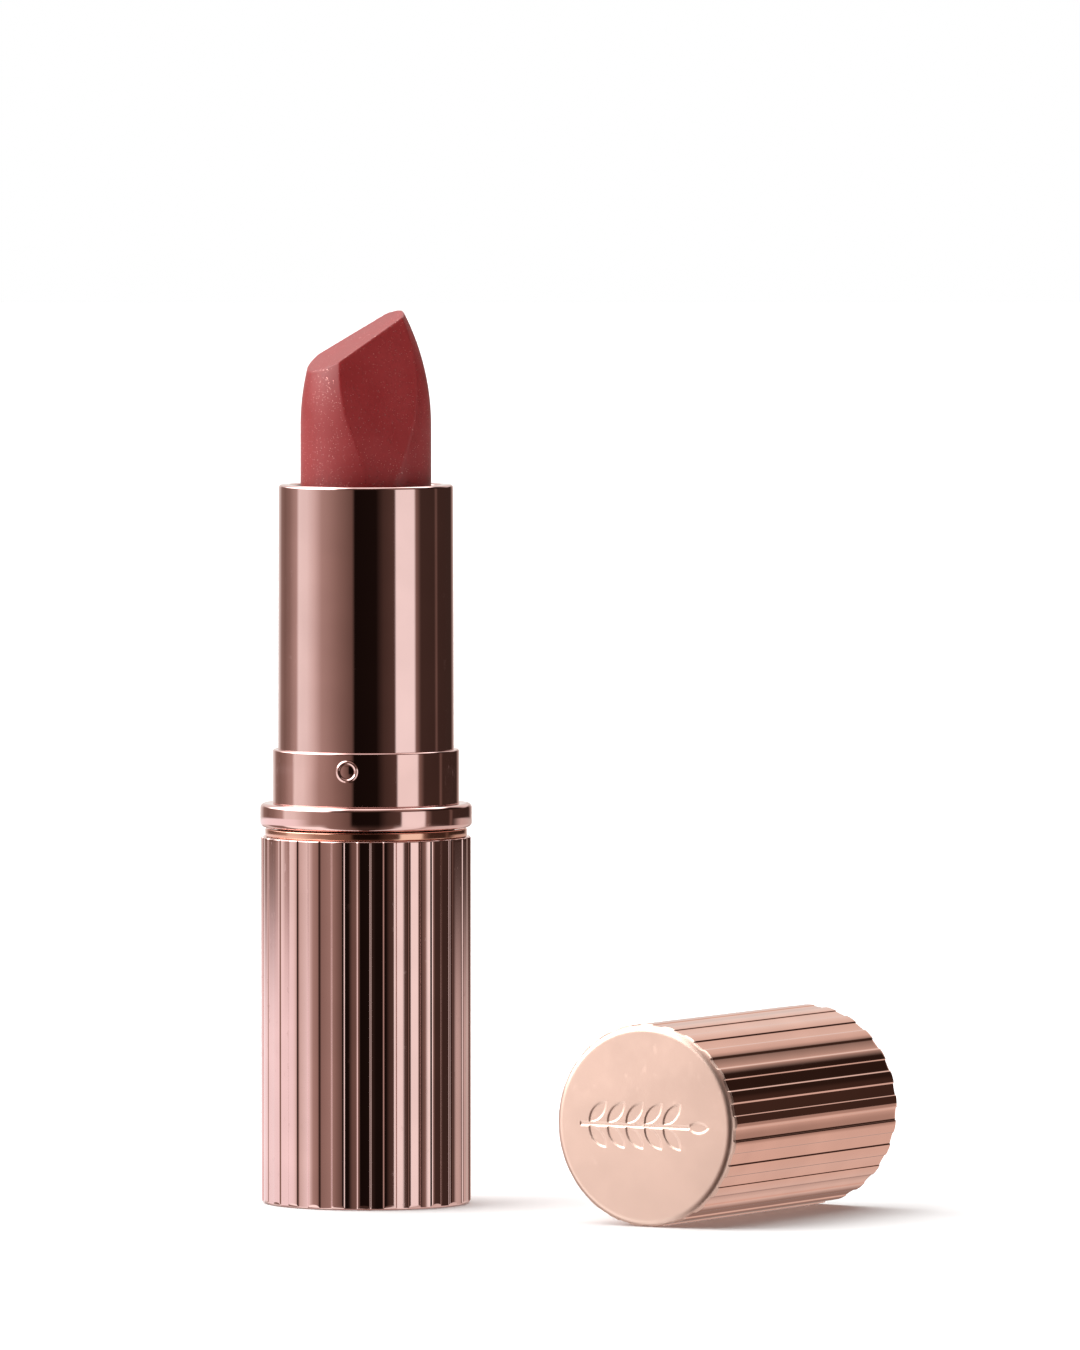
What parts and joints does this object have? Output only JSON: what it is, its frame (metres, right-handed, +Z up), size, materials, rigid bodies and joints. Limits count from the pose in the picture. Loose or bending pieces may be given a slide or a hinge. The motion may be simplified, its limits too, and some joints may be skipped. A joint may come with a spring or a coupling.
{
  "type": "lipstick case",
  "caption": "Ribbed twist-up lipstick case with its slanted bullet wound up and its ribbed cap lying beside it.",
  "frame": {"origin": "centre of the flat foot of the ribbed base, on the case's axis", "axes": "+Z up along the case's axis towards the bullet's tip, -Y towards the front, where the cap's closed end points"},
  "size_m": [0.0589, 0.0424, 0.0827],
  "materials": {
    "base_shell": "polished rose-gold anodised",
    "base_label": "blank paper-like film",
    "base_weight": "turned",
    "base_liner": "moulded",
    "neck_washer": "polished rose-gold anodised",
    "fork": "moulded",
    "cam_sleeve": "moulded",
    "damping_ring": "greased",
    "flange_ring": "polished rose-gold anodised",
    "collar_core": "moulded",
    "collar_ring": "polished rose-gold anodised",
    "sleeve_shell": "polished rose-gold anodised",
    "carrier_cup": "metallised",
    "bullet": "waxy with fine shimmer",
    "cap_shell": "polished rose-gold anodised",
    "cap_liner": "moulded",
    "cap_weight": "stamped"
  },
  "bodies": {
    "base": {"base_shell": "base_shell", "base_label": "base_label", "base_weight": "base_weight", "base_liner": "base_liner", "neck_washer": "neck_washer", "fork": "fork"},
    "sleeve": {"cam_sleeve": "cam_sleeve", "damping_ring": "damping_ring", "flange_ring": "flange_ring", "collar_core": "collar_core", "collar_ring": "collar_ring", "sleeve_shell": "sleeve_shell"},
    "carrier": {"carrier_cup": "carrier_cup", "bullet": "bullet"},
    "cap": {"cap_shell": "cap_shell", "cap_liner": "cap_liner", "cap_weight": "cap_weight"}
  },
  "joints": [
    {"name": "twist", "type": "hinge", "parent": "base", "child": "sleeve", "pos_m": [0, 0, 0.035], "axis": [0, 0, 1], "range_deg": [-18, 315]},
    {"name": "lift", "type": "slide", "parent": "base", "child": "carrier", "axis": [0, 0, 1], "range_m": [-0.0175, 0.001]},
    {"name": "cap_draw", "type": "slide", "parent": "base", "child": "cap", "axis": [-0.497, -0.8678, 0], "range_m": [0, 0.032]}
  ],
  "couplings": [
    {"joint": "lift", "follows": "twist", "m_per_rad": -0.0031831}
  ]
}
